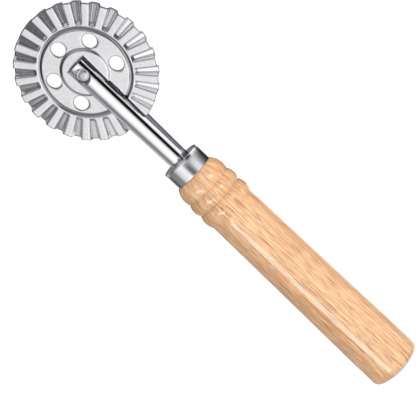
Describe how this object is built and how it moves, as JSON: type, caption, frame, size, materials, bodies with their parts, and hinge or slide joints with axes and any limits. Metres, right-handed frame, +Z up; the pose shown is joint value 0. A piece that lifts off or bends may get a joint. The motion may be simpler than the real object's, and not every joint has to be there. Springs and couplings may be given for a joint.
{
  "type": "tracing wheel",
  "caption": "Fluted tracing wheel of pressed sheet, spinning on a rivet between two half-round fork arms, with a ferrule and a turned, beaded wooden handle.",
  "frame": {"origin": "The middle of the tool's bounding box along X and Y, at its lowest point, with the tool lying on its side. The handle's axis and the wheel's centre are 9.62 mm above it, and the wheel's centre is 60.45 mm towards -X.", "axes": "+X runs along the handle's axis from the wheel to the butt. +Z is up, along the wheel's axle, towards the side that the flutes' lands and the raised boss face. Y runs across the tool."},
  "size_m": [0.1709, 0.05, 0.0192],
  "materials": {
    "wheel_chrome": "pressed steel sheet with bright plating",
    "fork_chrome": "polished plating on pressed steel",
    "ferrule_chrome": "polished plating on a drawn cup",
    "rivet_steel": "bright zinc-plated rivet",
    "washer_steel": "plain stamped washer",
    "bush_brass": "turned brass",
    "handle_wood": "clear lacquer over pale, open-pored hardwood"
  },
  "bodies": {
    "handle_and_fork": {"handle": "handle_wood", "ferrule": "ferrule_chrome", "fork_arm_front": "fork_chrome", "fork_arm_rear": "fork_chrome", "axle_rivet": "rivet_steel", "thrust_washer_front": "washer_steel", "thrust_washer_rear": "washer_steel", "tail_rivet_front": "rivet_steel", "tail_rivet_back": "rivet_steel"},
    "wheel": {"wheel_disc": "wheel_chrome", "hub_bush": "bush_brass", "hub_collar": "bush_brass"}
  },
  "joints": [
    {"name": "wheel_spin", "type": "hinge", "parent": "handle_and_fork", "child": "wheel", "pos_m": [-0.06045, 0, 0.00962], "axis": [0, 0, 1], "continuous": true}
  ]
}
